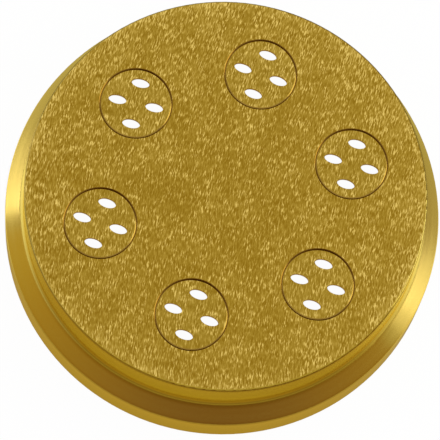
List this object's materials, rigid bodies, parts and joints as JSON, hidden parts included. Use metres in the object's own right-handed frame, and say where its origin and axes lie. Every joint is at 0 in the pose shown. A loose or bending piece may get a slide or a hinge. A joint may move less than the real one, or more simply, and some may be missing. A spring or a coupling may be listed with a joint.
{
  "type": "pasta extrusion die",
  "caption": "Round brass die for a pasta extruder: a turned body with a conical clamping shoulder and flush, removable inserts whose slots shape flat long pasta.",
  "frame": {"origin": "centre of the back face, on the die's axis", "axes": "+Z along the die's axis and out through the front face, +X along the long side of the slots"},
  "size_m": [0.078, 0.078, 0.021],
  "materials": {
    "turned_brass": "brushed front face, polished turned rim",
    "insert_brass": "brushed front face, turned sides"
  },
  "bodies": {
    "root": {"die_body": "turned_brass", "insert_1": "insert_brass", "insert_2": "insert_brass", "insert_3": "insert_brass", "insert_4": "insert_brass", "insert_5": "insert_brass", "insert_6": "insert_brass"}
  },
  "joints": []
}
